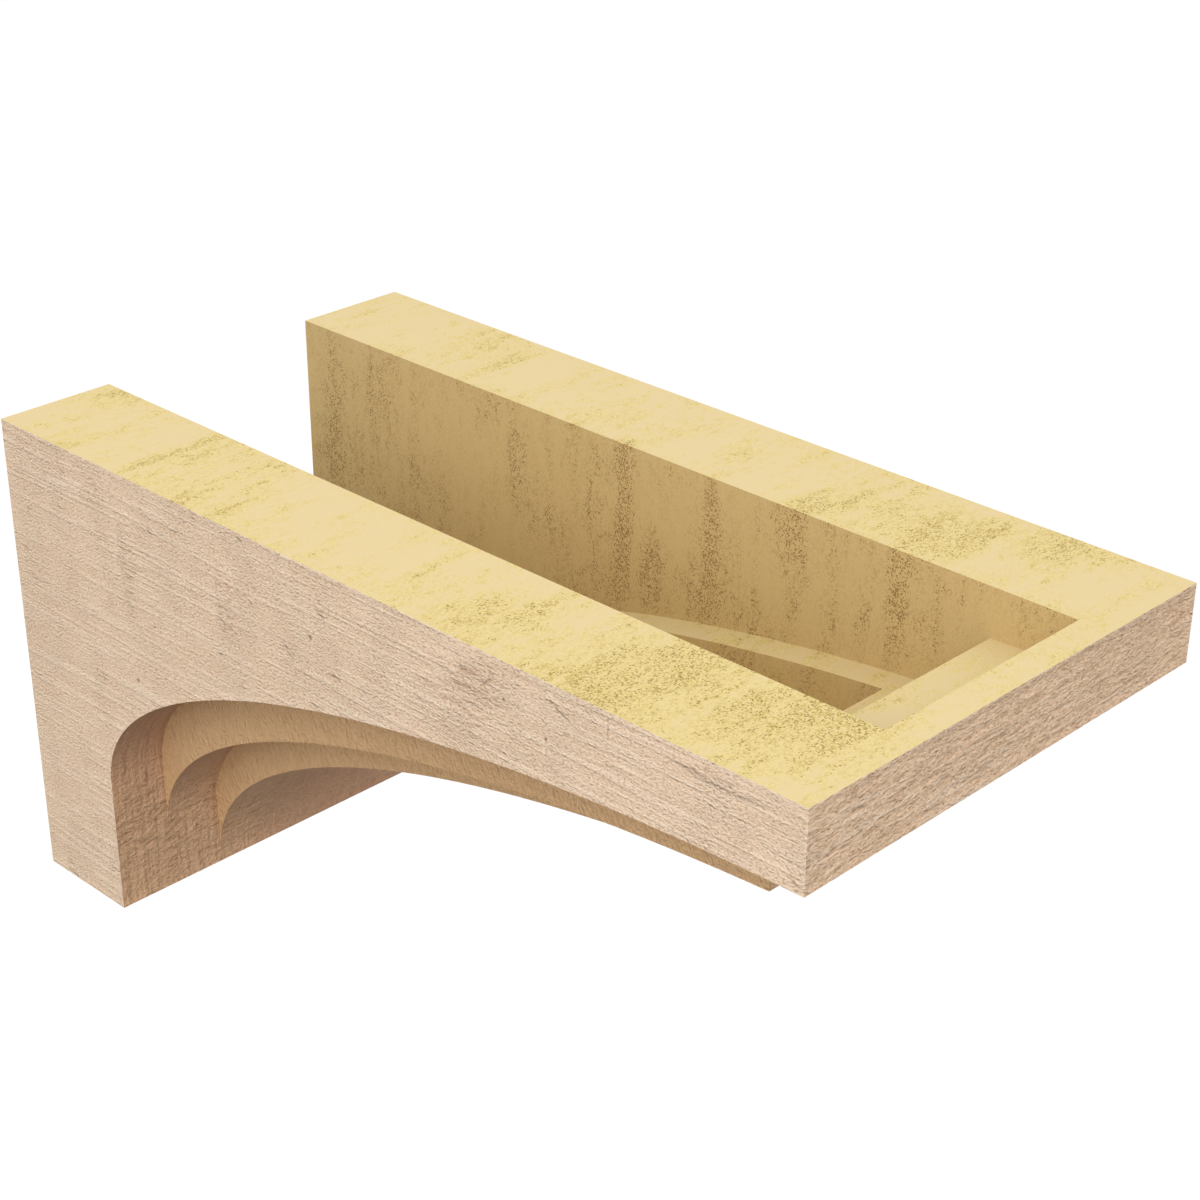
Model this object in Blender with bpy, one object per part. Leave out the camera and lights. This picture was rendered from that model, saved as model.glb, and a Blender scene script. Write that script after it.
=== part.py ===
# Stepped corbel, cast in one piece in rigid polyurethane.
# It is an L in side view: a leg against the wall and an arm that reaches forward,
# carried by three nested arches that step inward towards the middle of the underside.
# The casting is hollow. A channel, open at the top and the back, runs between two thick
# sides and follows the stepped underside at one wall thickness.
#
# Metres. X runs across the width, +Y towards the wall, +Z up.
# The back face lies on Y = 0. The origin is on that face, at mid-width, in the middle of
# the bottom wall's thickness.

import math

import bmesh
import bpy
from mathutils import Matrix

# Overall size
WIDTH = 0.3048
REACH = 0.6096
HEIGHT = 0.3048

# Leg, nose, sides and shell
LEG_DEPTH = 0.0762
NOSE_HEIGHT = 0.0457
SIDE_WIDTH = 0.0762
WALL = 0.01905

# Steps of the underside: each next arch is narrower, ends further back and hangs lower
STEP_IN = 0.0381
STEP_BACK = 0.0508
MIDDLE_DROP = 0.0386
INNER_DROP = 0.0300

# Height above the foot at which each arch springs from the leg
OUTER_SPRING = 0.0905
MIDDLE_SPRING = 0.0446
INNER_SPRING = 0.0068

# How far each arch's crown would lie in front of its own front end
OUTER_OVERRUN = 0.0276
MIDDLE_OVERRUN = 0.1099
INNER_OVERRUN = 0.2191

# Straight pieces that each arch is drawn with
ARCH_PIECES = 44

# How far a rib is let into the body above it, and how far a cutter runs past a face
LET_IN = WALL / 2
CLEAR = 0.01

# Points closer than this are one point, and faces that bend less than this angle are one face
WELD = 1e-6
FLAT = 0.001

# Colour of the moulded skin, and its roughness
SKIN_COLOUR = (0.69, 0.50, 0.35, 1.0)
SKIN_ROUGHNESS = 0.75

# Levels and planes that the sizes above give
FOOT = -WALL / 2
TOP = FOOT + HEIGHT
FRONT = -REACH
LEG_FACE = -LEG_DEPTH

# Turns an outline drawn in X, Y and extruded along Z to face the side: X to Y, Y to Z, Z to X
SIDE_ON = Matrix(((0, 0, 1, 0), (1, 0, 0, 0), (0, 1, 0, 0), (0, 0, 0, 1)))


class Arch:
    """A quarter of an ellipse that leaves the leg's face upright and rises to its front end.

    It starts on the leg's face at height spring. Its crown lies overrun in front of end_y,
    and its height there makes the curve pass through (end_y, end_z).
    """

    def __init__(self, end_y, end_z, spring, overrun):
        self.end_y = end_y
        self.spring = spring
        self.length = LEG_FACE - end_y + overrun
        self.centre = LEG_FACE - self.length
        self.rise = (end_z - spring) / math.sqrt(1 - (overrun / self.length) ** 2)

    def points(self, front_y, lowest=None, grown=0.0):
        """Points from front_y back to the leg, on the curve with both half axes grown."""
        length = self.length + grown
        rise = self.rise + grown
        first = math.acos((front_y - self.centre) / length)
        last = 0.0
        if lowest is not None and lowest > self.spring:
            last = math.asin((lowest - self.spring) / rise)
        angles = [first + (last - first) * i / ARCH_PIECES for i in range(ARCH_PIECES + 1)]
        return [
            (self.centre + length * math.cos(a), self.spring + rise * math.sin(a))
            for a in angles
        ]


def nested_arches():
    """The outer, middle and inner arch, each from its own front end back to the leg."""
    outer_end = TOP - NOSE_HEIGHT
    middle_end = outer_end - MIDDLE_DROP
    inner_end = middle_end - INNER_DROP
    return (
        Arch(FRONT, outer_end, FOOT + OUTER_SPRING, OUTER_OVERRUN),
        Arch(FRONT + STEP_BACK, middle_end, FOOT + MIDDLE_SPRING, MIDDLE_OVERRUN),
        Arch(FRONT + 2 * STEP_BACK, inner_end, FOOT + INNER_SPRING, INNER_OVERRUN),
    )


def empty_scene():
    """Removes whatever the file holds."""
    for thing in list(bpy.data.objects):
        bpy.data.objects.remove(thing, do_unlink=True)


def new_collection(name):
    """A collection linked to the scene."""
    found = bpy.data.collections.new(name)
    bpy.context.scene.collection.children.link(found)
    return found


def plate(name, outline, half_width, collection):
    """A closed solid: the side outline, a list of (y, z), extruded half_width each way in X.

    Each flat end becomes a single face, so that a Boolean meets no seams across it.
    """
    curve = bpy.data.curves.new(name, "CURVE")
    curve.dimensions = "2D"
    curve.fill_mode = "BOTH"
    curve.extrude = half_width
    spline = curve.splines.new("POLY")
    spline.points.add(len(outline) - 1)
    for point, (y, z) in zip(spline.points, outline):
        point.co = (y, z, 0, 1)
    spline.use_cyclic_u = True

    drawn = bpy.data.objects.new(name + "_outline", curve)
    collection.objects.link(drawn)
    graph = bpy.context.evaluated_depsgraph_get()
    mesh = bpy.data.meshes.new_from_object(drawn.evaluated_get(graph))
    bpy.data.objects.remove(drawn)

    shape = bmesh.new()
    shape.from_mesh(mesh)
    bmesh.ops.remove_doubles(shape, verts=shape.verts, dist=WELD)
    bmesh.ops.dissolve_limit(shape, angle_limit=FLAT, verts=shape.verts, edges=shape.edges)
    bmesh.ops.recalc_face_normals(shape, faces=shape.faces)
    shape.to_mesh(mesh)
    shape.free()
    mesh.transform(SIDE_ON)
    mesh.name = name

    solid = bpy.data.objects.new(name, mesh)
    collection.objects.link(solid)
    return solid


def side_outline(arch):
    """Side view of the body: the back, the top, the nose, the outer arch and the leg."""
    return [(0, FOOT), (0, TOP), (FRONT, TOP)] + arch.points(FRONT) + [(LEG_FACE, FOOT)]


def rib_outline(arch, above):
    """Side view of a rib that hangs below the arch above it and grows into leg and body."""
    front_y = arch.end_y
    roof = above.points(front_y, grown=LET_IN)
    inside_leg = LEG_FACE + LET_IN
    return arch.points(front_y) + [(inside_leg, arch.spring)] + roof[::-1]


def channel_outline(outer, middle):
    """Side view of the channel: the recess behind the nose, then the floor over the middle arch."""
    recess_front = FRONT + WALL
    floor_front = middle.end_y + WALL
    recess = [p for p in outer.points(recess_front, grown=WALL) if p[0] < floor_front]
    recess_end = height_on(outer, floor_front, WALL)
    floor = middle.points(floor_front, lowest=FOOT + WALL, grown=WALL)
    return (
        [(CLEAR, TOP + CLEAR), (recess_front, TOP + CLEAR)]
        + recess
        + [(floor_front, recess_end)]
        + floor
        + [(floor[-1][0], FOOT + WALL), (CLEAR, FOOT + WALL)]
    )


def height_on(arch, y, grown):
    """Height of the grown arch at y."""
    across = (y - arch.centre) / (arch.length + grown)
    return arch.spring + (arch.rise + grown) * math.sqrt(1 - across**2)


def trough_outline(inner):
    """Side view of the lower trough, over the inner arch."""
    front_y = inner.end_y + WALL
    floor = inner.points(front_y, lowest=FOOT + WALL, grown=WALL)
    return (
        [(CLEAR, TOP + CLEAR), (front_y, TOP + CLEAR)]
        + floor
        + [(floor[-1][0], FOOT + WALL), (CLEAR, FOOT + WALL)]
    )


def as_cutter(thing):
    """Marks a cutter, which isn't part of the object."""
    thing.hide_render = True
    thing.display_type = "WIRE"
    return thing


def joined(body, other, operation):
    """Adds one Boolean step to the body."""
    step = body.modifiers.new(operation.lower() + "_" + other.name, "BOOLEAN")
    step.operation = operation
    step.solver = "EXACT"
    step.object = other


def polyurethane():
    """The moulded skin: tan, dull and slightly rough."""
    material = bpy.data.materials.new("moulded_polyurethane")
    material.use_nodes = True
    shader = material.node_tree.nodes["Principled BSDF"]
    shader.inputs["Base Color"].default_value = SKIN_COLOUR
    shader.inputs["Roughness"].default_value = SKIN_ROUGHNESS
    shader.inputs["Metallic"].default_value = 0.0
    material.diffuse_color = SKIN_COLOUR
    return material


def corbel():
    """The casting: the body and two ribs joined, then the channel and the trough cut out."""
    made = new_collection("corbel")
    tools = new_collection("cutters")
    outer, middle, inner = nested_arches()
    half = WIDTH / 2
    hollow_half = half - SIDE_WIDTH

    body = plate("corbel", side_outline(outer), half, made)
    middle_rib = plate("middle_rib", rib_outline(middle, outer), half - STEP_IN, tools)
    inner_rib = plate("inner_rib", rib_outline(inner, middle), half - 2 * STEP_IN, tools)
    channel = plate("channel", channel_outline(outer, middle), hollow_half, tools)
    trough = plate("trough", trough_outline(inner), hollow_half - WALL, tools)
    for other in (middle_rib, inner_rib):
        joined(body, as_cutter(other), "UNION")
    for other in (channel, trough):
        joined(body, as_cutter(other), "DIFFERENCE")
    body.data.materials.append(polyurethane())
    return body


empty_scene()
corbel()
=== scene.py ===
# %% [markdown]
# A hollow corbel with a rough-sawn skin
#
# The real corbel is a single casting in rigid polyurethane foam. Its mould was taken from
# rough-sawn timber, so the two sides, the nose and the stepped underside look like a beam. The
# top, the back and the hollow never show on a wall, so they are bare foam: smooth, pale yellow
# and finely pored.
#
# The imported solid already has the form. This script makes the same form again as one closed
# mesh that is fine enough to carry the saw marks, and gives it three procedural finishes.

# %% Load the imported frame
import math

import bpy
import numpy as np
from mathutils import Matrix, Vector


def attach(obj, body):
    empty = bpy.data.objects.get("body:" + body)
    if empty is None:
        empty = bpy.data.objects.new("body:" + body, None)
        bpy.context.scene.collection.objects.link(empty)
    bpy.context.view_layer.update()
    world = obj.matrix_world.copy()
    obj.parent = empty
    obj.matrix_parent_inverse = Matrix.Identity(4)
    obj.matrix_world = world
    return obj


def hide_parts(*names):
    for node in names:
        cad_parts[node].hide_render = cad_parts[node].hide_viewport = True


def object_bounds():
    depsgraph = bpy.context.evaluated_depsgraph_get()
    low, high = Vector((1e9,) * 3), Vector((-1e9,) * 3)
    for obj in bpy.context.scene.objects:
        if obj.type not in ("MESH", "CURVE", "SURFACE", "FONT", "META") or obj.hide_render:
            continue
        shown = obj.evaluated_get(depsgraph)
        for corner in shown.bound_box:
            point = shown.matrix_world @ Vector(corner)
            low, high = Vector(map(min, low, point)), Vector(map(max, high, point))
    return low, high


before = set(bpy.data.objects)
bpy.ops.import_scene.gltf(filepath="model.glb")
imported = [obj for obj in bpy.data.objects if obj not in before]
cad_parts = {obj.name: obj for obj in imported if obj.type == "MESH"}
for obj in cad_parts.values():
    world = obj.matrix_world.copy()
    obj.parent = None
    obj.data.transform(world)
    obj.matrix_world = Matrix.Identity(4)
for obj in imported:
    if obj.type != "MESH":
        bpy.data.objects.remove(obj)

cad_low, cad_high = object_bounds()
print("casting from", tuple(cad_low), "to", tuple(cad_high))

# %% [markdown]
# Sizes
#
# The outside of the casting is read from the frame, so that the dressed mesh can never differ
# from the solid. What the frame doesn't state, such as the thickness of the shell and the three
# arches, repeats the construction's own driving sizes, in metres.
#
# X runs across the width, +Y towards the wall and +Z up. The back lies on Y = 0.

# %% Sizes of the casting
HALF = cad_high[0]
FRONT, BACK = cad_low[1], cad_high[1]
FOOT, TOP = cad_low[2], cad_high[2]

LEG_DEPTH = 0.0762
NOSE_HEIGHT = 0.0457
SIDE_WIDTH = 0.0762
WALL = 0.01905

STEP_IN = 0.0381
STEP_BACK = 0.0508
MIDDLE_DROP = 0.0386
INNER_DROP = 0.0300

leg_face = BACK - LEG_DEPTH
middle_half = HALF - STEP_IN
inner_half = HALF - 2 * STEP_IN
channel_half = HALF - SIDE_WIDTH
trough_half = channel_half - WALL
pocket_front = leg_face + WALL
pocket_floor = FOOT + WALL
print("width %.1f, reach %.1f, height %.1f mm" % (2000 * HALF, -1000 * FRONT, 1000 * (TOP - FOOT)))

# %% [markdown]
# The three arches
#
# Each arch is a quarter of an ellipse that leaves the leg upright and sweeps forward under the
# arm. An ellipse could be drawn as a Bezier curve, but as a formula its height at any station is
# one line of numpy, and the floor of the hollow follows from it: the same ellipse with both half
# axes longer by the wall.

# %% The arches as a formula
TAPE_STEP = 0.0005
FINE_SAMPLES = 4000


class Arch:
    """Quarter ellipse: height = spring + rise * sqrt(1 - ((y - centre) / length) squared).

    It stands on the leg's face at height spring, and passes through (end_y, end_z), which lies
    overrun short of its crown.
    """

    def __init__(self, end_y, end_z, spring, overrun):
        self.end_y = end_y
        self.spring = FOOT + spring
        self.length = leg_face - end_y + overrun
        self.centre = leg_face - self.length
        self.rise = (end_z - self.spring) / math.sqrt(1 - (overrun / self.length) ** 2)

    def height(self, y, grown=0.0):
        """Height of the arch, or of the same ellipse with both half axes grown, at y."""
        share = (y - self.centre) / (self.length + grown)
        return self.spring + (self.rise + grown) * np.sqrt(np.clip(1 - share**2, 0, 1))

    def inward(self, y):
        """Unit vectors square to the arch that point up into the casting."""
        slope_y = (y - self.centre) / self.length**2
        slope_z = (self.height(y) - self.spring) / self.rise**2
        size = np.hypot(slope_y, slope_z)
        return points(0, slope_y / size, slope_z / size)

    def beyond(self, y, z):
        """Distance of (y, z) above the arch or behind the leg's face, to first order.

        With q the point's own radius on the ellipse, that is (q - 1) over the slope of q.
        """
        share_y, share_z = (y - self.centre) / self.length, (z - self.spring) / self.rise
        q = np.hypot(share_y, share_z)
        slope = np.hypot(share_y / self.length, share_z / self.rise) / q
        return np.where(z > self.spring, (q - 1) / slope, y - leg_face)

    def walked(self, y):
        """Length of surface from the foot, up the leg and along the arch, to each y."""
        fine = stations_on(self, self.end_y, leg_face, TAPE_STEP)[::-1]
        steps = np.hypot(np.diff(fine), np.diff(self.height(fine)))
        total = np.concatenate([[0], np.cumsum(steps)]) + self.spring - FOOT
        return np.interp(-y, -fine, total)


def points(x, y, z):
    """Points from numbers or arrays that share one shape, with x, y and z on the last axis."""
    return np.stack(np.broadcast_arrays(x, y, z), axis=-1).astype(float)


def stations_on(arch, first, last, step, grown=0.0):
    """Values of y from first to last that lie equal steps apart, measured along the arch itself.

    A dense row of samples, crowded towards the upright end, is walked and then read back at
    equal lengths.
    """
    y = last + (first - last) * np.linspace(1, 0, FINE_SAMPLES) ** 2
    steps = np.hypot(np.diff(y), np.diff(arch.height(y, grown)))
    walk = np.concatenate([[0], np.cumsum(steps)])
    count = max(1, round(walk[-1] / step))
    found = np.interp(np.linspace(0, walk[-1], count + 1), walk, y)
    found[0], found[-1] = first, last
    return found


outer_end_z = TOP - NOSE_HEIGHT
middle_end_z = outer_end_z - MIDDLE_DROP
inner_end_z = middle_end_z - INNER_DROP
outer = Arch(FRONT, outer_end_z, spring=0.0905, overrun=0.0276)
middle = Arch(FRONT + STEP_BACK, middle_end_z, spring=0.0446, overrun=0.1099)
inner = Arch(FRONT + 2 * STEP_BACK, inner_end_z, spring=0.0068, overrun=0.2191)
for name, arch in (("outer", outer), ("middle", middle), ("inner", inner)):
    print(name, "arch: ends at y %.4f, springs from z %.4f" % (arch.end_y, arch.spring))

# %% [markdown]
# Stations
#
# Neighbouring surfaces stay closed only if they share the samples along their common edge. So
# there is one set of stations along the reach, one across the width and one up the leg, and
# every surface below takes its slice of them. The stations include each plane where something
# begins or ends. Along the arm they follow the outer arch in equal steps, because equal steps
# in y would leave great gaps where the arch stands upright.

# %% Stations along, across and up
STEP_ALONG = 0.003
STEP_ACROSS = 0.003
STEP_UP = 0.0017
ROWS_ABOVE_ARCH = 90
SLACK = 1e-9

recess_front = FRONT + WALL
channel_front = middle.end_y + WALL
trough_front = inner.end_y + WALL


def spaced(breaks, step):
    """Stations from the first break to the last, about a step apart, every break among them."""
    counts = [max(1, round((b - a) / step)) for a, b in zip(breaks, breaks[1:])]
    runs = [np.linspace(a, b, n + 1)[:-1] for a, b, n in zip(breaks, breaks[1:], counts)]
    return np.concatenate(runs + [breaks[-1:]])


rise_share = (pocket_floor - inner.spring) / (inner.rise + WALL)
trough_end = inner.centre + (inner.length + WALL) * math.sqrt(1 - rise_share**2)
along = np.concatenate([
    spaced([FRONT, recess_front, middle.end_y, channel_front, inner.end_y, trough_front],
           STEP_ALONG),
    stations_on(outer, trough_front, leg_face, STEP_ALONG)[1:],
    stations_on(middle, leg_face, trough_end, 2 * STEP_ALONG, WALL)[1:],
    spaced([trough_end, pocket_front, BACK], STEP_ALONG)[1:],
])
half_across = spaced([0, trough_half, channel_half, middle_half, HALF], STEP_ACROSS)
across = np.concatenate([-half_across[:0:-1], half_across])
up_leg = spaced([FOOT, inner.spring, middle.spring, outer.spring], STEP_UP)
share_up = np.linspace(0, 1, ROWS_ABOVE_ARCH + 1)
print(len(along), "stations along,", len(across), "across,", len(up_leg), "up the leg")


def within(stations, first, last):
    """The stations from first to last, both among them."""
    return stations[(stations >= first - SLACK) & (stations <= last + SLACK)]


# %% [markdown]
# From surfaces to faces
#
# Every surface is one of two kinds. A ruled grid runs in straight rows between two edges with
# equally many samples, and carries saw marks. A flat face has many corners and no inner points:
# it is enough for the bare foam, and it meets any edge sample for sample. Both are gathered in
# one list and welded at the end, which is simpler than keeping count of shared corners.

# %% Grids and flat faces
WELD = 1e-6
SAWN, ARCHED, FOAM = 0, 1, 2

patches = []


def add_grid(surface, finish, grid, inward, run=0, cross=0, edge=0):
    """Adds a grid of points, shaped rows by columns by 3, as quads that face away from inward.

    run and cross are each point's distance in metres along and across the saw marks, and edge
    is its distance from the nearest edge of the surface. A grid without marks needs none of them.
    """
    rows, columns = grid.shape[:2]
    corner = np.arange(rows * columns).reshape(rows, columns)
    quads = np.stack([corner[:-1, :-1], corner[:-1, 1:], corner[1:, 1:], corner[1:, :-1]], axis=-1)
    quads = quads.reshape(-1, 4)
    spots = grid.reshape(-1, 3)
    into = np.broadcast_to(inward, grid.shape).reshape(-1, 3)
    a, b, c, d = (spots[quads[:, k]] for k in range(4))
    facing = np.cross(c - a, d - b)
    if (facing * into[quads[:, 0]]).sum() > 0:
        quads = quads[:, ::-1]
    patches.append({
        "surface": surface,
        "finish": finish,
        "points": spots,
        "faces": quads,
        "inward": into,
        "run": np.broadcast_to(run, grid.shape[:2]).ravel(),
        "cross": np.broadcast_to(cross, grid.shape[:2]).ravel(),
        "edge": np.broadcast_to(edge, grid.shape[:2]).ravel(),
    })


def add_flat(finish, edges, outward):
    """Adds one flat face whose outline is the given edges, each an array of points, in order."""
    outline = np.concatenate([np.atleast_2d(edge) for edge in edges])
    apart = np.linalg.norm(outline - np.roll(outline, 1, axis=0), axis=1)
    outline = outline[apart > WELD]
    area = np.cross(outline, np.roll(outline, -1, axis=0)).sum(axis=0)
    if area @ np.array(outward) < 0:
        outline = outline[::-1]
    corner = np.arange(len(outline))
    patches.append({
        "surface": None,
        "finish": finish,
        "points": outline,
        "faces": corner[None],
    })


def ruled(first, last, shares):
    """Grid between two edges: a row of points at each share of the way from first to last."""
    return first + shares[:, None, None] * (last - first)


# %% [markdown]
# The sides and the nose
#
# Each side is an L with an arched inner corner. One grid can't bend round that corner and keep
# level rows, so a side is three ruled grids with shared edges: the arm above the arch, the leg
# above the arch's foot, and the leg below it. Short columns at the nose get finer rows, which
# is where the camera comes nearest.

# %% Sides and nose
def add_side(name, side, grid):
    """A piece of a side. Its marks run along Y, and its edges are the arch and four planes."""
    y, z = grid[..., 1], grid[..., 2]
    edge = np.minimum.reduce([y - FRONT, BACK - y, TOP - z, z - FOOT, outer.beyond(y, z)])
    add_grid(name, SAWN, grid, (-side, 0, 0), y, z, edge)


arm = within(along, FRONT, leg_face)
leg = within(along, leg_face, BACK)
for side, name in ((-1, "left side"), (1, "right side")):
    arm_grid = ruled(
        points(side * HALF, arm, outer.height(arm)), points(side * HALF, arm, TOP), share_up
    )
    add_side(name, side, arm_grid)
    upper_leg = ruled(
        points(side * HALF, leg, outer.spring), points(side * HALF, leg, TOP), share_up
    )
    add_side(name, side, upper_leg)
    lower_leg = points(side * HALF, leg[None], up_leg[:, None])
    add_side(name, side, lower_leg)

nose = ruled(points(across, FRONT, outer_end_z), points(across, FRONT, TOP), share_up)
nose_x, nose_z = nose[..., 0], nose[..., 2]
nose_edge = np.minimum.reduce([HALF - abs(nose_x), TOP - nose_z, nose_z - outer_end_z])
add_grid("nose", SAWN, nose, (0, 1, 0), nose_x, nose_z, nose_edge)
print("sides and nose:", sum(len(p["faces"]) for p in patches), "faces")

# %% [markdown]
# The leg's face and the arches
#
# The underside is one continuous skin: up the leg's face, then along an arch to its front end.
# It steps inward twice, so the outer arch shows as two side strips, the middle arch as two
# narrower ones, and the inner arch as a broad vault between them. In front of a rib's end the
# arch above it runs the full width. The saw marks run up the leg and on along the arches, so
# distance along them is measured as a tape would, over the surface.

# %% Leg face and arches
def to_ends(x):
    """Distance of each station from the nearer end of its row."""
    return np.minimum(x - x[0], x[-1] - x)


def band(side, near, far):
    """The stations across, on one side, from near to far from the middle."""
    return np.sort(side * within(half_across, near, far))


def add_leg_strip(x, highest):
    """The leg's face between the foot and the spring of one arch, over the stations x."""
    z = within(up_leg, FOOT, highest)
    grid = points(x[None], leg_face, z[:, None])
    edge = np.minimum(to_ends(x)[None], (z - FOOT)[:, None])
    add_grid("underside", ARCHED, grid, (0, 1, 0), z[:, None] - FOOT, x[None], edge)


def add_arch_strip(arch, x, first, last):
    """An arch between two stations, over the stations x."""
    y = within(along, first, last)
    grid = points(x[:, None], y[None], arch.height(y)[None])
    inward = np.broadcast_to(arch.inward(y), grid.shape)
    edge = np.minimum(to_ends(x)[:, None], (y - arch.end_y)[None])
    add_grid("underside", ARCHED, grid, inward, arch.walked(y)[None], x[:, None], edge)


for side in (-1, 1):
    outer_band = band(side, middle_half, HALF)
    middle_band = band(side, inner_half, middle_half)
    add_leg_strip(outer_band, outer.spring)
    add_leg_strip(middle_band, middle.spring)
    add_arch_strip(outer, outer_band, middle.end_y, leg_face)
    add_arch_strip(middle, middle_band, inner.end_y, leg_face)

under_middle = within(across, -middle_half, middle_half)
under_inner = within(across, -inner_half, inner_half)
add_leg_strip(under_inner, inner.spring)
add_arch_strip(outer, across, FRONT, middle.end_y)
add_arch_strip(middle, under_middle, middle.end_y, inner.end_y)
add_arch_strip(inner, under_inner, inner.end_y, leg_face)
print("with the underside:", sum(len(p["faces"]) for p in patches), "faces")

# %% [markdown]
# The ribs' flat sides and ends
#
# Between two arches the casting shows a flat crescent, and each rib ends square in a low flat
# face. They are flat and almost smooth, so one face each is enough.

# %% Crescents and rib ends
def add_crescent(side, half, arch, above):
    """The flat side of a rib, from the arch above it down to its own arch."""
    x = side * half
    y = within(along, arch.end_y, leg_face)
    down = within(up_leg, arch.spring, above.spring)[::-1]
    edges = [
        points(x, y, above.height(y)),
        points(x, leg_face, down),
        points(x, y[::-1], arch.height(y[::-1])),
    ]
    add_flat(ARCHED, edges, (side, 0, 0))


def add_rib_end(x, arch, above):
    """The square front end of a rib, over the stations x."""
    edges = [
        points(x, arch.end_y, above.height(arch.end_y)),
        points(x[::-1], arch.end_y, arch.height(arch.end_y)),
    ]
    add_flat(ARCHED, edges, (0, -1, 0))


for side in (-1, 1):
    add_crescent(side, middle_half, middle, outer)
    add_crescent(side, inner_half, inner, middle)
add_rib_end(under_middle, middle, outer)
add_rib_end(under_inner, inner, middle)
print(len(patches), "surfaces with the ribs")

# %% [markdown]
# The hollow
#
# The hollow is what saves foam: one wall thickness above every arch. Behind the nose lies a
# shallow recess, then the channel, and in its floor a narrower trough that drops into the leg.
# The floors are ruled grids that follow the grown ellipses, and all that stands upright is flat.

# %% Floors of the hollow
def add_floor(arch, x, first, last):
    """A floor of the hollow, one wall above an arch, over the stations x."""
    y = within(along, first, last)
    grid = points(np.array(x)[:, None], y[None], arch.height(y, WALL)[None])
    add_grid(None, FOAM, grid, (0, 0, -1))


channel_x = (-channel_half, channel_half)
ledges_x = (-channel_half, -trough_half, trough_half, channel_half)
trough_x = (-trough_half, trough_half)
add_floor(outer, channel_x, recess_front, channel_front)
add_floor(middle, ledges_x, channel_front, trough_front)
for ledge_x in (ledges_x[2:], ledges_x[:2]):
    add_floor(middle, ledge_x, trough_front, pocket_front)
add_floor(inner, trough_x, trough_front, trough_end)
print(len(patches), "surfaces with the floors")

# %% Upright walls of the hollow
recess_y = within(along, recess_front, channel_front)[::-1]
channel_y = within(along, channel_front, pocket_front)[::-1]
ledge_y = within(along, trough_front, pocket_front)
trough_y = within(along, trough_front, trough_end)[::-1]

for side in (-1, 1):
    x = side * channel_half
    add_flat(FOAM, [
        points(x, [recess_front, BACK, BACK, pocket_front], [TOP, TOP, pocket_floor, pocket_floor]),
        points(x, channel_y, middle.height(channel_y, WALL)),
        points(x, recess_y, outer.height(recess_y, WALL)),
    ], (-side, 0, 0))
    x = side * trough_half
    add_flat(FOAM, [
        points(x, ledge_y, middle.height(ledge_y, WALL)),
        points(x, [pocket_front, trough_end], pocket_floor),
        points(x, trough_y, inner.height(trough_y, WALL)),
    ], (-side, 0, 0))
    x = side * np.array([trough_half, channel_half, channel_half, trough_half])
    z = [pocket_floor, pocket_floor, middle.spring, middle.spring]
    add_flat(FOAM, [points(x, pocket_front, z)], (0, 1, 0))


def add_upright(x, y, lower, upper):
    """A wall across the hollow at y, from one floor up to the next or to the top."""
    x = np.array(x)
    add_flat(FOAM, [points(x, y, lower), points(x[[-1, 0]], y, upper)], (0, 1, 0))


add_upright(channel_x, recess_front, outer.height(recess_front, WALL), TOP)
add_upright(ledges_x, channel_front, middle.height(channel_front, WALL),
            outer.height(channel_front, WALL))
add_upright(trough_x, trough_front, inner.height(trough_front, WALL),
            middle.height(trough_front, WALL))
pocket_x = np.array([-channel_half, -trough_half, -trough_half])
add_flat(FOAM, [
    points(pocket_x, [pocket_front, pocket_front, trough_end], pocket_floor),
    points(-pocket_x[::-1], [trough_end, pocket_front, pocket_front], pocket_floor),
    points([channel_half, -channel_half], BACK, pocket_floor),
], (0, 0, 1))
print(len(patches), "surfaces with the whole hollow")

# %% [markdown]
# Top, back and foot
#
# The top and the back are the open side of the mould, struck off flat, and both are a U round
# the hollow. The foot is the small flat end of the leg, and has the skin.

# %% Top, back and foot
add_flat(FOAM, [
    points(-HALF, along, TOP),
    points([-channel_half, -channel_half], [BACK, recess_front], TOP),
    points([channel_half, channel_half], [recess_front, BACK], TOP),
    points(HALF, along[::-1], TOP),
    points(across[::-1], FRONT, TOP),
], (0, 0, 1))

up_back = np.concatenate([up_leg, outer.spring + share_up[1:] * (TOP - outer.spring)])
add_flat(FOAM, [
    points(-HALF, BACK, up_back),
    points([-channel_half, -channel_half], BACK, [TOP, pocket_floor]),
    points([channel_half, channel_half], BACK, [pocket_floor, TOP]),
    points(HALF, BACK, up_back[::-1]),
], (0, 1, 0))

add_flat(SAWN, [
    points(across, leg_face, FOOT),
    points(HALF, leg, FOOT),
    points(-HALF, leg[::-1], FOOT),
], (0, 0, -1))
print(len(patches), "surfaces in all")

# %% [markdown]
# Saw marks in the mesh
#
# A mould taken from rough-sawn timber keeps its larger marks as real hollows: long shallow
# streaks, patches where the saw tore the fibres, lumps on the end of the timber, and wrinkles
# low on the leg. They could be a bump in the material, but then the edges and the exported mesh
# would be dead flat. So the larger marks move the mesh, always inward, and only what is finer
# is left to the material.
#
# The marks are noise that is stretched along the grain. It is made here with numpy: random
# values on a lattice, eased from one to the next.

# %% Noise stretched along the grain
LATTICE = 256


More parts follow.
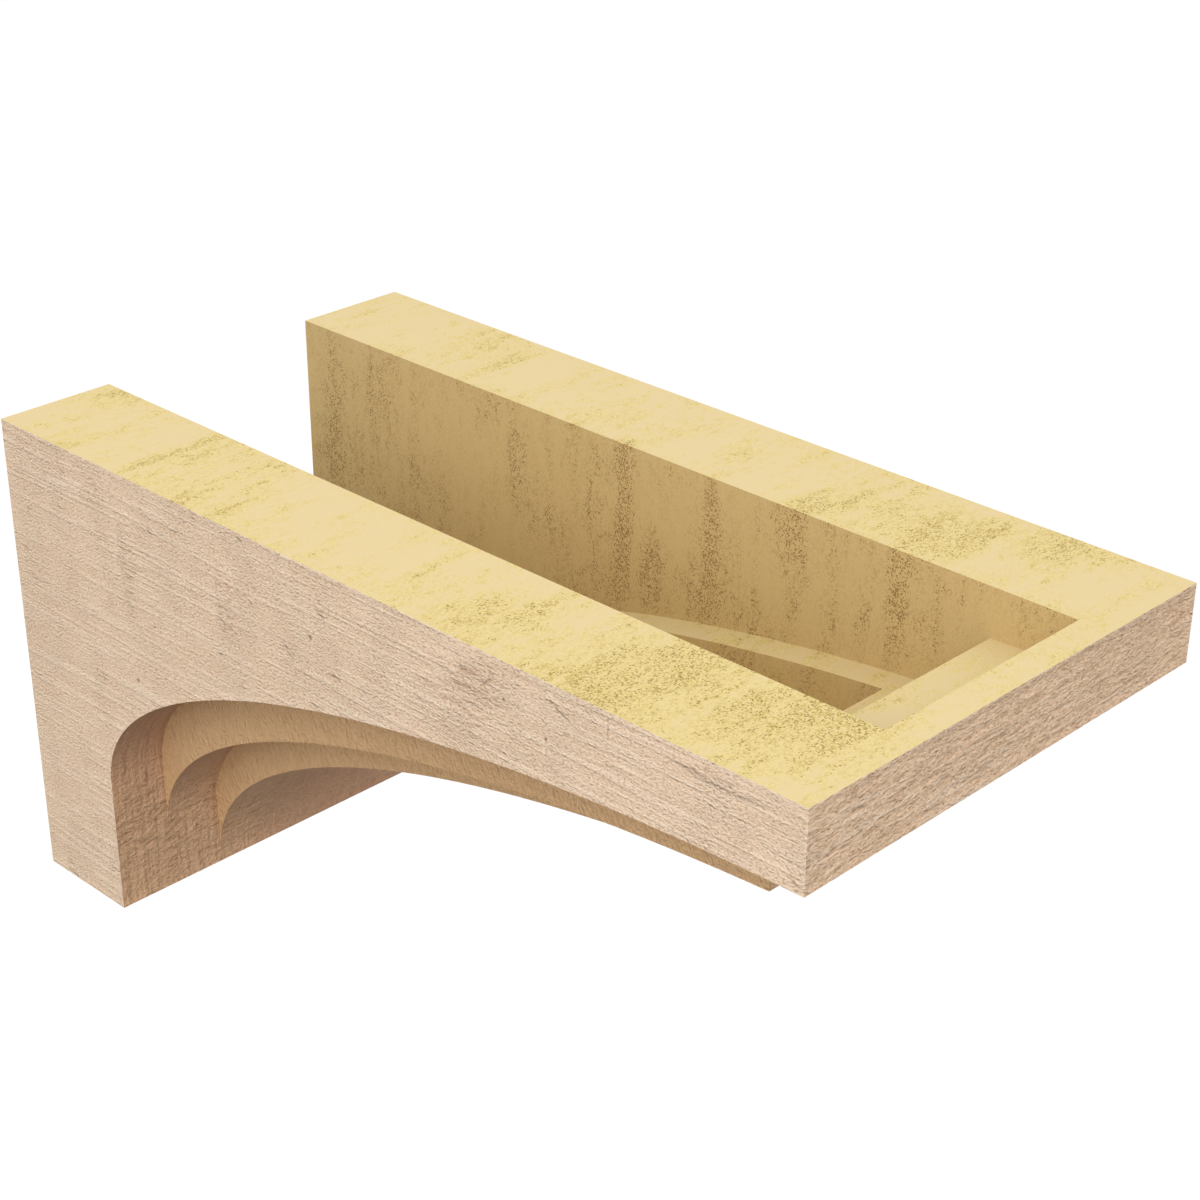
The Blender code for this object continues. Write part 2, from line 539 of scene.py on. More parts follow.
def mottle(u, v, seed):
    """Smooth noise from 0 to 1, with a new random value at each whole step of u and v.

    Between steps it eases with 3t squared minus 2t cubed, first along u and then along v.
    """
    table = np.random.default_rng(seed).random((LATTICE, LATTICE))
    low_u, low_v = np.floor(u), np.floor(v)
    ease_u, ease_v = (t * t * (3 - 2 * t) for t in (u - low_u, v - low_v))
    i, j = (low_u.astype(int) % LATTICE, low_v.astype(int) % LATTICE)
    i2, j2 = ((i + 1) % LATTICE, (j + 1) % LATTICE)
    near = table[i, j] + ease_u * (table[i2, j] - table[i, j])
    far = table[i, j2] + ease_u * (table[i2, j2] - table[i, j2])
    return near + ease_v * (far - near)


def streaks(run, cross, length, width, seed):
    """Streaks from 0 to 1, length by width metres, that waver a little: three sizes summed."""
    waver = cross + width * mottle(run / length, cross / (6 * width), seed)
    total = sum(
        mottle(run / length * 2**k, waver / width * 2**k, seed + 1 + k) / 2**k for k in range(3)
    )
    return total / (1 + 1 / 2 + 1 / 4)


def between(value, low, high):
    """0 up to low, 1 from high on, and an eased slope between them."""
    t = np.clip((value - low) / (high - low), 0, 1)
    return t * t * (3 - 2 * t)


# %% Depth of the marks on each surface
BROAD_DEPTH, FIBRE_DEPTH, TORN_DEPTH = 0.0003, 0.0001, 0.0003
LUMP_DEPTH = 0.0004
GROOVE_DEPTH, CHATTER_DEPTH, WRINKLE_DEPTH = 0.00035, 0.0002, 0.0005
WRINKLES_END, WRINKLES_FULL = 0.110, 0.050


def sawn_depth(run, cross, seed):
    """Rough-sawn timber: broad streaks everywhere, and deep torn fibres in scattered patches."""
    broad = streaks(run, cross, 0.040, 0.0050, seed)
    fibre = streaks(run, cross, 0.016, 0.0024, seed + 10)
    torn = between(mottle(run / 0.045, cross / 0.024, seed + 20), 0.55, 0.85)
    deep = (FIBRE_DEPTH + TORN_DEPTH * torn) * between(fibre, 0.2, 0.9)
    return BROAD_DEPTH * broad + deep


def nose_depth(run, cross, seed):
    """The end of the timber: the same marks, with lumps under a centimetre long between them."""
    waver = cross + 0.003 * mottle(run / 0.020, cross / 0.020, seed + 30)
    lump = mottle(run / 0.009, waver / 0.0036, seed + 31)
    return sawn_depth(run, cross, seed) + LUMP_DEPTH * lump


def arch_depth(run, cross, seed):
    """Planed with a curved cutter: shallow grooves, faint cross marks, and wrinkles near the foot."""
    groove = streaks(run, cross, 0.060, 0.0050, seed)
    chatter = mottle(run / 0.006, cross / 0.040, seed + 10)
    low = between(run, WRINKLES_END, WRINKLES_FULL)
    wrinkle = streaks(cross, run, 0.012, 0.0050, seed + 20) * low
    return GROOVE_DEPTH * groove + CHATTER_DEPTH * chatter + WRINKLE_DEPTH * wrinkle


DEPTHS = {
    "left side": (sawn_depth, 100),
    "right side": (sawn_depth, 200),
    "nose": (nose_depth, 300),
    "underside": (arch_depth, 400),
}
print("surfaces with marks:", ", ".join(DEPTHS))

# %% [markdown]
# Weld and move
#
# Points that two surfaces share are made one. The marks fade towards every edge of their
# surface, because the timber's edges were planed crisp, and the little that is left of both
# surfaces' marks wears an edge in both directions. A closed mesh has exactly two faces on every
# edge, which is counted here.

# %% Weld the surfaces and press in the marks
QUIET_EDGE = 0.005
EDGE_WEAR = 0.12

starts = np.cumsum([0] + [len(p["points"]) for p in patches])
loose = np.concatenate([p["points"] for p in patches])
_, kept, joined = np.unique(np.round(loose / WELD).astype(np.int64), axis=0,
                            return_index=True, return_inverse=True)
joined = joined.ravel()
corners = loose[kept]

pressed = np.zeros_like(corners)
for surface, (depth, seed) in DEPTHS.items():
    total, count = np.zeros_like(corners), np.zeros(len(corners))
    for patch, start in zip(patches, starts):
        if patch["surface"] == surface:
            ids = joined[start:start + len(patch["points"])]
            marks = depth(patch["run"], patch["cross"], seed)
            marks *= between(patch["edge"], 0, QUIET_EDGE) + EDGE_WEAR
            push = patch["inward"] * marks[:, None]
            np.add.at(total, ids, push)
            np.add.at(count, ids, 1)
    pressed += total / np.maximum(count, 1)[:, None]

numbered = [joined[patch["faces"] + start].tolist() for patch, start in zip(patches, starts)]
faces = [face for patch_faces in numbered for face in patch_faces]
finishes = np.concatenate([np.full(len(p["faces"]), p["finish"]) for p in patches])
mesh_edges = np.concatenate([np.stack([face, np.roll(face, -1)], axis=1) for face in faces])
_, uses = np.unique(np.sort(mesh_edges, axis=1), axis=0, return_counts=True)
triangles = sum(len(face) - 2 for face in faces)
print(len(corners), "points,", triangles, "triangles")
print("faces on each edge:", sorted(set(uses.tolist())))
print("deepest mark %.2f mm" % (1000 * np.linalg.norm(pressed, axis=1).max()))

# %% [markdown]
# One mesh
#
# The casting is one piece, so it is one object. Smooth shading hides the facets of the arches,
# but would also round off the crisp edges, so every edge that bends more than SHARP_EDGE is
# marked as sharp. The faces carry the number of their finish.

# %% The casting as one mesh
SHARP_EDGE = math.radians(50)
mesh = bpy.data.meshes.new("corbel_casting")
mesh.from_pydata((corners + pressed).tolist(), [], faces)
mesh.polygons.foreach_set("material_index", finishes)
mesh.shade_smooth()
mesh.set_sharp_from_angle(angle=SHARP_EDGE)
mesh.validate()
casting = bpy.data.objects.new("corbel_casting", mesh)
bpy.context.scene.collection.objects.link(casting)
print(casting.name, "has", len(mesh.polygons), "faces")

# %% [markdown]
# Writing the finishes
#
# All three finishes are mostly stretched noise, so they share a few short helpers. Every pattern
# reads Object coordinates, in metres, because the grain of a moulded skin has a real size.
# Stretching the coordinates in two directions and not in the third gives marks that lie level
# on the sides and on the nose alike, with no seam at the corner.

# %% Short names for shader nodes
SHINE = 0.25
WIDEST_PIT, PIT_RIM = 0.62, 0.22
BUMP_UNIT = 0.001


class Finish:
    """A material being written. Each call adds one node and returns the output to use next."""

    def __init__(self, name):
        self.material = bpy.data.materials.new(name)
        self.material.use_nodes = True
        self.tree = self.material.node_tree
        self.shader = self.tree.nodes["Principled BSDF"]
        self.shader.inputs["Specular IOR Level"].default_value = SHINE
        where = self.tree.nodes.new("ShaderNodeTexCoord")
        self.place, self.normal = where.outputs["Object"], where.outputs["Normal"]

    def feed(self, socket, value):
        """Links an output to a socket, or sets the socket to a plain value."""
        if isinstance(value, bpy.types.NodeSocket):
            self.tree.links.new(value, socket)
        else:
            socket.default_value = value

    def stretched(self, size, centre=(0, 0, 0), tilt=0.0):
        """The place less centre, tilted in the side view, in units of size metres a side."""
        mapping = self.tree.nodes.new("ShaderNodeMapping")
        mapping.vector_type = "TEXTURE"
        mapping.inputs["Location"].default_value = centre
        mapping.inputs["Rotation"].default_value = (tilt, 0, 0)
        mapping.inputs["Scale"].default_value = size
        self.feed(mapping.inputs["Vector"], self.place)
        return mapping.outputs["Vector"]

    def noise(self, size, detail=2.0, rough=0.5, centre=(0, 0, 0), tilt=0.0, warp=0.0):
        """Noise from 0 to 1 whose marks measure size metres in X, Y and Z.

        Another centre shows another part of the same noise, so that two patterns don't line up.
        """
        texture = self.tree.nodes.new("ShaderNodeTexNoise")
        texture.inputs["Scale"].default_value = 1.0
        texture.inputs["Detail"].default_value = detail
        texture.inputs["Roughness"].default_value = rough
        texture.inputs["Distortion"].default_value = warp
        self.feed(texture.inputs["Vector"], self.stretched(size, centre, tilt))
        return texture.outputs["Fac"]

    def bubbles(self, size, dense):
        """Round pits in cells of the given size, from 0 outside a pit to 1 in it.

        A cell has a pit where its random number is less than dense, and the more it is less,
        the wider the pit, up to WIDEST_PIT of the cell's size from its middle.
        """
        cells = self.tree.nodes.new("ShaderNodeTexVoronoi")
        cells.inputs["Scale"].default_value = 1.0
        self.feed(cells.inputs["Vector"], self.stretched((size, size, size)))
        chance = self.along_axis(cells.outputs["Color"], "X")
        wide = self.ease(self.work("SUBTRACT", dense, chance), 0.0, 0.9, 0.0, WIDEST_PIT)
        return self.ease(self.work("SUBTRACT", cells.outputs["Distance"], wide), 0.0, -PIT_RIM)

    def ease(self, value, low, high, start=0.0, end=1.0):
        """start up to low, end from high on, with an eased slope between them."""
        ramp = self.tree.nodes.new("ShaderNodeMapRange")
        ramp.interpolation_type = "SMOOTHSTEP"
        names = ("Value", "From Min", "From Max", "To Min", "To Max")
        for name, given in zip(names, (value, low, high, start, end)):
            self.feed(ramp.inputs[name], given)
        return ramp.outputs["Result"]

    def work(self, operation, first, second):
        """One step of arithmetic on two values."""
        step = self.tree.nodes.new("ShaderNodeMath")
        step.operation = operation
        self.feed(step.inputs[0], first)
        self.feed(step.inputs[1], second)
        return step.outputs["Value"]

    def times(self, first, second):
        """The product of two values."""
        return self.work("MULTIPLY", first, second)

    def plus(self, *values):
        """The sum of all the values."""
        total = values[0]
        for value in values[1:]:
            total = self.work("ADD", total, value)
        return total

    def mix(self, share, first, second):
        """The first colour, and as much of the second as share says."""
        blend = self.tree.nodes.new("ShaderNodeMix")
        blend.data_type = "RGBA"
        self.feed(blend.inputs["Factor"], share)
        for name, colour in (("A", first), ("B", second)):
            socket = next(s for s in blend.inputs if s.name == name and s.type == "RGBA")
            self.feed(socket, (*colour, 1) if isinstance(colour, tuple) else colour)
        return next(s for s in blend.outputs if s.type == "RGBA")

    def near(self, centre, reach, tilt=0.0):
        """1 at a point of the casting, easing to 0 at an ellipsoid of the given half sizes.

        The ellipsoid can be tilted in the side view.
        """
        length = self.tree.nodes.new("ShaderNodeVectorMath")
        length.operation = "LENGTH"
        self.feed(length.inputs[0], self.stretched(reach, centre, tilt))
        return self.ease(length.outputs["Value"], 0.3, 1.0, 1.0, 0.0)

    def along_axis(self, vector, axis):
        """One part of a vector."""
        split = self.tree.nodes.new("ShaderNodeSeparateXYZ")
        self.feed(split.inputs[0], vector)
        return split.outputs[axis]

    def facing(self, axis):
        """1 where the surface faces along an axis of the casting, either way, and 0 square to it."""
        return self.ease(self.work("ABSOLUTE", self.along_axis(self.normal, axis), 0.0), 0.35, 0.8)

    def finished(self, colour, rough, height_mm):
        """Sets the colour, the roughness, and a bump from a height in millimetres."""
        bump = self.tree.nodes.new("ShaderNodeBump")
        bump.inputs["Strength"].default_value = 1.0
        bump.inputs["Distance"].default_value = BUMP_UNIT
        self.feed(bump.inputs["Height"], height_mm)
        self.feed(self.shader.inputs["Normal"], bump.outputs["Normal"])
        self.feed(self.shader.inputs["Roughness"], rough)
        self.feed(self.shader.inputs["Base Color"], colour)
        return self.material


# %% [markdown]
# The sawn skin
#
# The sides and the nose are factory-primed in a pinkish tan. Close up the skin is gritty, with
# bumps of one or two millimetres, whose tops get a painted highlight and whose clefts get
# painted brown shade. Thin straight ridges run level through the grit, with a painted highlight
# on their crests, upright bands of chatter cross the sides where the saw shook, and in scattered
# patches the fibres are torn into flakes, above all on the nose; the hollows of the flakes get
# painted brown shade. The nose is tinted redder, as painted warm shade. Its edges are rubbed a
# little lighter. A wood texture would give rings and lines that run too far, so each of these is
# its own stretched noise, and slow, large noise says where the rough ones lie.
# What the eye would miss, such as the gouged patch, has a place of its own.
#
# A size below is a mark's length in X, Y and Z. A place is a centre and three half sizes, and
# a nick or scratch adds its tilt in degrees in the side view and its share of the painted shade
# in its dent.

# %% Colours, sizes and places of the sawn skin
SKIN_LIGHT = (0.85, 0.647, 0.468)
SKIN_SHADE = (0.825, 0.612, 0.434)
# Painted warm shade: a redder tint for the forward-facing nose.
SKIN_NOSE_WARM_SHADE = (0.95, 0.66, 0.435)
# Painted highlight on the tops of the grit and the crests of the ridges; also the colour of the
# rubbed edges.
SKIN_HIGHLIGHT_AND_WEAR = (0.97, 0.81, 0.64)
# Painted shade in the clefts of the grit.
SKIN_CLEFT_SHADE = (0.63, 0.385, 0.22)
# Painted shade in the hollows of torn flakes and in the nicks.
SKIN_HOLLOW_SHADE = (0.47, 0.27, 0.15)

GRIT_SIZE = (0.0019, 0.0019, 0.0013)
FLAKE_SIZE = (0.0066, 0.0066, 0.0026)
GOUGE_SIZE = (0.016, 0.016, 0.0048)
RIDGE_SIZE = (0.090, 0.090, 0.0030)
CHATTER_SIZE = (0.020, 0.020, 0.080)
TORN_SIZE = (0.016, 0.016, 0.008)
SLOW_SIZE = (0.030, 0.030, 0.012)
RIDGE_MM, FLAKE_MM, GOUGE_MM, NICK_MM = 0.32, 2.4, 3.2, 0.9
WEAR_WIDTH, WEAR_SHARE = 0.0022, 0.6

CALM_PLACE = ((-HALF, -0.600, 0.270), (0.100, 0.220, 0.150))
GOUGED_PLACE = ((-HALF, -0.395, 0.266), (0.02, 0.060, 0.036))
TORN_PLACES = (
    ((-HALF, -0.405, 0.281), (0.02, 0.028, 0.018)),
    ((-HALF, -0.116, 0.243), (0.02, 0.011, 0.048)),
    ((-HALF, -0.203, 0.250), (0.02, 0.010, 0.034)),
    ((-HALF, -0.560, 0.288), (0.02, 0.040, 0.006)),
)
SKIN_NICKS_WITH_SHADE = (
    ((-HALF, -0.2755, 0.2537), (0.01, 0.0022, 0.0022), 0, 0.85),
    ((-HALF, -0.1147, 0.1660), (0.01, 0.0018, 0.0018), 0, 0.85),
    ((-HALF, -0.4206, 0.2740), (0.01, 0.0012, 0.0012), 0, 0.85),
    ((-HALF, -0.4491, 0.2635), (0.01, 0.0012, 0.0012), 0, 0.85),
    ((-HALF, -0.4901, 0.2858), (0.01, 0.0008, 0.0100), 0, 0.35),
    ((-HALF, -0.4095, 0.2794), (0.01, 0.0100, 0.0012), -42, 0.50),
    ((-HALF, -0.3952, 0.2800), (0.01, 0.0125, 0.0016), -2, 0.50),
    ((-HALF, -0.3901, 0.2709), (0.01, 0.0080, 0.0014), 2, 0.45),
    ((-HALF, -0.4177, 0.2445), (0.01, 0.0068, 0.0014), 10, 0.40),
    ((-HALF, -0.4625, 0.2714), (0.01, 0.0034, 0.0012), 18, 0.35),
)
print("sawn skin:", len(TORN_PLACES), "torn places and", len(SKIN_NICKS_WITH_SHADE), "nicks and scratches")


# %% Sawn skin
def worn_edges(finish, nose):
    """1 on the crisp edges at the top and at both front corners, easing to 0 a wear's width in."""
    x, y, z = (finish.along_axis(finish.place, axis) for axis in "XYZ")
    corner = finish.ease(finish.work("ABSOLUTE", x, 0.0), HALF - WEAR_WIDTH, HALF)
    front = finish.ease(y, FRONT + WEAR_WIDTH, FRONT)
    sides = finish.plus(
        finish.times(corner, nose), finish.times(front, finish.work("SUBTRACT", 1.0, nose)),
    )
    return finish.work("MAXIMUM", sides, finish.ease(z, TOP - WEAR_WIDTH, TOP))


def sawn_skin():
    """Gritty pinkish tan skin with level ridges, upright chatter and torn flakes."""
    finish = Finish("sawn_skin")
    nose = finish.facing("Y")
    chatter = finish.ease(finish.noise(CHATTER_SIZE, 2.0, 0.5, (1, 4, 2)), 0.42, 0.60)
    torn = finish.ease(finish.noise(TORN_SIZE, 2.0, 0.6, (8, 3, 5)), 0.60, 0.76)
    torn = finish.times(torn, finish.ease(chatter, 0.0, 1.0, 0.25, 1.0))
    for place in TORN_PLACES:
        torn = finish.work("MAXIMUM", torn, finish.near(*place))
    torn = finish.work("MAXIMUM", torn, nose)

    grit = finish.noise(GRIT_SIZE, 2.0, 0.6)
    flake = finish.noise(FLAKE_SIZE, 3.0, 0.6, (4, 4, 4), warp=0.3)
    gouge = finish.noise(GOUGE_SIZE, 2.0, 0.5, (6, 2, 7), warp=0.3)
    ridge = finish.ease(finish.noise(RIDGE_SIZE, 1.0, 0.5, (0, 0, 3)), 0.50, 0.66)
    height = finish.plus(
        finish.times(grit, finish.ease(chatter, 0.0, 1.0, 1.6, 2.1)),
        finish.times(grit, finish.times(finish.near(*CALM_PLACE), -0.25)),
        finish.times(ridge, RIDGE_MM),
        finish.times(flake, finish.ease(torn, 0.0, 1.0, 0.15, FLAKE_MM)),
        finish.times(gouge, finish.times(finish.near(*GOUGED_PLACE), GOUGE_MM)),
    )

    slow = finish.noise(SLOW_SIZE, 2.0, 0.5, (2, 2, 2))
    tan = finish.mix(finish.ease(slow, 0.35, 0.65), SKIN_SHADE, SKIN_LIGHT)
    # Painted warm shade: where the skin faces forward, as on the nose, it is tinted redder.
    tan = finish.mix(finish.times(nose, 0.8), tan, SKIN_NOSE_WARM_SHADE)
    # Painted highlight: the crests of the ridges and the tops of the grit are mixed lighter.
    tan = finish.mix(finish.ease(ridge, 0.5, 1.0, 0.0, 0.30), tan, SKIN_HIGHLIGHT_AND_WEAR)
    tan = finish.mix(finish.ease(grit, 0.54, 0.68, 0.0, 0.50), tan, SKIN_HIGHLIGHT_AND_WEAR)
    # Painted shade: the clefts of the grit are mixed brown.
    tan = finish.mix(finish.ease(grit, 0.47, 0.32, 0.0, 0.70), tan, SKIN_CLEFT_SHADE)
    # Painted shade: the hollows of the torn flakes are mixed dark brown.
    deep = finish.times(finish.ease(flake, 0.46, 0.34), finish.ease(torn, 0.0, 1.0, 0.0, 0.45))
    tan = finish.mix(deep, tan, SKIN_HOLLOW_SHADE)
    # Each nick or scratch is a real dent in the bump, with painted shade mixed into it.
    for centre, reach, tilt, share in SKIN_NICKS_WITH_SHADE:
        nick_with_shade = finish.times(finish.near(centre, reach, math.radians(tilt)), share)
        tan = finish.mix(nick_with_shade, tan, SKIN_HOLLOW_SHADE)
        height = finish.work("SUBTRACT", height, finish.times(nick_with_shade, NICK_MM))
    patchy = finish.ease(flake, 0.38, 0.60, 0.0, WEAR_SHARE)
    worn = finish.times(worn_edges(finish, nose), patchy)
    tan = finish.mix(worn, tan, SKIN_HIGHLIGHT_AND_WEAR)
    rough = finish.ease(grit, 0.35, 0.65, 0.95, 0.78)
    return finish.finished(tan, rough, height)


# %% [markdown]
# The arches' skin
#
# Under the arm the timber was cut with a curved cutter, so narrow grooves run up the leg and
# along the arches. Low on the leg they are crossed by a band of coarse wrinkles, like bark. The
# flat crescents are smoother and golden, with fine slanting ticks. The primer lies thinner here,
# so all of it is browner than the sides. On top of that, painted brown shade lies in the clefts
# of the grit and the creases of the wrinkles, and two broad places of painted shade darken the
# leg's face and the arches under the arm.

# %% Arch skin
ARCH_LIGHT = (0.775, 0.487, 0.290)
ARCH_SHADE = (0.72, 0.45, 0.265)
# Painted shade for the clefts of the grit and the creases of the wrinkles.
ARCH_CLEFT_SHADE = (0.44, 0.24, 0.12)
# Painted shade, and the places where it darkens the leg's face and the arches under the arm.
ARCH_PAINTED_SHADE = (0.50, 0.285, 0.18)
ARCH_PAINTED_SHADE_PLACES = (
    ((0, -0.110, 0.130), (0.5, 0.150, 0.105), 0.70),
    ((0.030, leg_face, 0.010), (0.130, 0.080, 0.080), 0.65),
)
RIB_GOLD = (0.745, 0.475, 0.25)
RIB_TICK = (0.64, 0.40, 0.20)

GROOVE_SIZE = (0.0046, 0.10, 0.10)
WRINKLE_SIZE = (0.012, 0.0036, 0.0036)
ARCH_GRIT_SIZE = (0.0022, 0.0022, 0.0022)
TICK_SIZE, TICK_TILT = (0.01, 0.0018, 0.0075), math.radians(-24)
BARK_PLACE = ((-0.095, leg_face, 0.038), (0.120, 0.100, 0.062))
GROOVE_MM, WRINKLE_MM, TICK_MM, ARCH_GRIT_MM = 2.8, 3.8, 1.9, 2.2


def arch_skin():
    """Browner skin: grooves along the arches, wrinkles low on the leg, golden crescents."""
    finish = Finish("arch_skin")
    crescent = finish.facing("X")
    bark = finish.ease(finish.near(*BARK_PLACE), 0.0, 1.0, 0.22, 1.0)
    groove = finish.noise(GROOVE_SIZE, 2.0, 0.5, warp=0.2)
    wrinkle = finish.noise(WRINKLE_SIZE, 3.0, 0.65, (5, 2, 1), warp=0.7)
    grit = finish.noise(ARCH_GRIT_SIZE, 2.0, 0.6)
    tick = finish.noise(TICK_SIZE, 2.0, 0.55, tilt=TICK_TILT, warp=0.4)
    gritty = finish.times(grit, ARCH_GRIT_MM)
    barked = finish.times(finish.times(wrinkle, bark), WRINKLE_MM)
    grooved = finish.plus(finish.times(groove, GROOVE_MM), gritty, barked)
    ticked = finish.plus(finish.times(tick, TICK_MM), gritty)
    height = finish.plus(
        finish.times(grooved, finish.work("SUBTRACT", 1.0, crescent)), finish.times(ticked, crescent)
    )
    brown = finish.mix(finish.ease(groove, 0.36, 0.62), ARCH_SHADE, ARCH_LIGHT)
    # Painted shade in the clefts of the grit and the creases of the wrinkles.
    brown = finish.mix(finish.ease(grit, 0.46, 0.30, 0.0, 0.45), brown, ARCH_CLEFT_SHADE)
    crease_shade = finish.times(finish.ease(wrinkle, 0.45, 0.34), finish.times(bark, 0.45))
    brown = finish.mix(crease_shade, brown, ARCH_CLEFT_SHADE)
    # Painted shade on the leg's face and the arches under the arm.
    for centre, reach, share in ARCH_PAINTED_SHADE_PLACES:
        brown = finish.mix(finish.times(finish.near(centre, reach), share), brown, ARCH_PAINTED_SHADE)
    gold = finish.mix(finish.ease(tick, 0.52, 0.36, 0.0, 0.6), RIB_GOLD, RIB_TICK)
    rough = finish.ease(grit, 0.35, 0.65, 0.95, 0.80)
    return finish.finished(finish.mix(crescent, brown, gold), rough, height)


# %% [markdown]
# The bare foam
#
# Where the mould was open the foam is pale yellow and smooth, with clusters of burst bubbles:
# brown and olive pits under a millimetre wide, in drifts that run across the width on top and
# straight down the walls of the hollow. Both follow from one stretch, long in X and Z and
# short in Y, which is how the foam rose in the mould. Noise that passes a threshold looks like
# worms, so the pits are random cells instead, each with a round pit or none, and the drifts say
# how many have one. The densest drifts have places of their own. The walls of the hollow lay
# against the core and are pored more evenly. Their foam, stains and pits get painted shade:
# darker and browner than on the top.

# %% Colours, sizes and places of the bare foam
FOAM_CLEAN = (0.685, 0.54, 0.280)
FOAM_PORED = (0.70, 0.56, 0.255)
# Painted shade: the upright walls' foam, stains and pits are darker and browner than on top.
FOAM_WALL_SHADE = (0.580, 0.427, 0.195)
FOAM_STAIN = (0.52, 0.38, 0.10)
FOAM_PIT = (0.30, 0.185, 0.035)
WALL_STAIN_IN_SHADE = (0.43, 0.28, 0.10)
WALL_PIT_IN_SHADE = (0.26, 0.14, 0.045)

DRIFT_SIZE = (0.042, 0.013, 0.090)
CLOUD_SIZE = (0.060, 0.050, 0.060)
CLUMP_SIZE = (0.0080, 0.0050, 0.0080)
GRAIN_SIZE = (0.0016, 0.0012, 0.0016)
PIT_CELL = 0.00100
DRIFT_PART, CLOUD_PART, CLUMP_PART, PLACE_PART = 0.5, 0.5, 0.44, 0.14
EVENED_BY, EVENED_UP = 0.40, 0.265
GRAIN_MM, PIT_MM = 0.12, 0.25

PORED_PLACES = (
    ((-0.118, -0.470, TOP), (0.070, 0.060, 0.030)),
    ((-0.100, -0.545, TOP), (0.070, 0.055, 0.030)),
    ((-0.035, -0.585, TOP), (0.100, 0.020, 0.020)),
    ((-0.105, -0.392, TOP), (0.040, 0.012, 0.020)),
    ((-0.105, -0.322, TOP), (0.050, 0.009, 0.020)),
    ((-0.090, -0.292, TOP), (0.040, 0.008, 0.020)),
    ((-0.110, -0.110, TOP), (0.060, 0.010, 0.020)),
    ((0.105, -0.415, TOP), (0.045, 0.020, 0.030)),
    ((0.105, -0.478, TOP), (0.050, 0.048, 0.030)),
    ((0.137, -0.530, TOP), (0.035, 0.055, 0.030)),
    ((0.120, -0.145, TOP), (0.060, 0.008, 0.020)),
    ((0.0762, -0.280, 0.255), (0.020, 0.013, 0.100)),
    ((0.0762, -0.283, 0.260), (0.020, 0.009, 0.070)),
    ((0.0762, -0.304, 0.215), (0.020, 0.014, 0.045)),
    ((0.0762, -0.350, 0.260), (0.020, 0.010, 0.060)),
    ((0.0762, -0.024, 0.24), (0.020, 0.020, 0.070)),
    ((0.0762, -0.070, 0.25), (0.020, 0.016, 0.080)),
    ((0.0762, -0.101, 0.23), (0.020, 0.008, 0.090)),
    ((0.0762, -0.193, 0.25), (0.020, 0.014, 0.045)),
    ((0.0762, -0.258, 0.25), (0.020, 0.010, 0.080)),
    ((0.0762, -0.410, 0.26), (0.020, 0.010, 0.050)),
    ((0.0762, -0.480, 0.26), (0.020, 0.012, 0.060)),
)
print("bare foam:", len(PORED_PLACES), "pored places")


# %% Bare foam
def bare_foam():
    """Pale yellow foam with drifts of small brown pits.

    The parts are weighed into one value, pored. On an upright wall it becomes
    (1 - EVENED_BY) * pored + EVENED_UP, which draws clean and dense places together.
    """
    finish = Finish("bare_foam")
    wall = finish.work("SUBTRACT", 1.0, finish.facing("Z"))
    drift = finish.noise(DRIFT_SIZE, 3.0, 0.6, (2, 3, 1))
    cloud = finish.noise(CLOUD_SIZE, 2.0, 0.5, (6, 1, 4))
    clump = finish.noise(CLUMP_SIZE, 2.0, 0.6, (3, 3, 3))
    pored = finish.plus(
        finish.times(drift, DRIFT_PART),
        finish.times(cloud, CLOUD_PART),
        finish.times(clump, CLUMP_PART),
        -CLUMP_PART / 2,
    )
    for place in PORED_PLACES:
        pored = finish.plus(pored, finish.times(finish.near(*place), PLACE_PART))
    evened = finish.plus(finish.times(pored, -EVENED_BY), EVENED_UP)
    pored = finish.plus(pored, finish.times(wall, evened))
    dense = finish.ease(pored, 0.39, 0.74)
    pit = finish.bubbles(PIT_CELL, finish.times(dense, 0.95))
    grain = finish.noise(GRAIN_SIZE, 2.0, 0.8)
    blotch = finish.times(finish.ease(grain, 0.46, 0.60), finish.times(dense, 0.85))
    clean = finish.mix(finish.ease(dense, 0.0, 0.6), FOAM_CLEAN, FOAM_PORED)
    # Painted shade on the upright walls, in the plain foam, the stains and the pits.
    clean = finish.mix(wall, clean, FOAM_WALL_SHADE)
    stained = finish.mix(blotch, clean, finish.mix(wall, FOAM_STAIN, WALL_STAIN_IN_SHADE))
    pitted = finish.mix(wall, FOAM_PIT, WALL_PIT_IN_SHADE)
    colour = finish.mix(finish.times(pit, 0.80), stained, pitted)
    height = finish.work("SUBTRACT", finish.times(grain, GRAIN_MM), finish.times(pit, PIT_MM))
    rough = finish.ease(dense, 0.0, 1.0, 0.64, 0.85)
    return finish.finished(colour, rough, height)


# %% [markdown]
# Dressing the casting
#
# The finishes are added in the order of the faces' numbers: SAWN, ARCHED, FOAM.

# %% Dress the casting
for made in (sawn_skin(), arch_skin(), bare_foam()):
    casting.data.materials.append(made)
    print(made.name, len(made.node_tree.nodes), "nodes")

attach(casting, "root")
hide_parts("corbel")

# %% [markdown]
# Camera
#
# The view is a long lens from the front left, a little above. The place and turn come from
# solving for the casting's own corners, which then fall within a pixel of the photograph.

# %% Camera
CAMERA_AT = Vector((-0.8573, -1.1663, 0.8478))
AZIMUTH, ELEVATION, ROLL = (math.radians(a) for a in (-45.52, 28.18, 0.151))
LENS_MM, SENSOR_MM = 73.61, 36.0
SHIFT = (0.0143, 0.046)

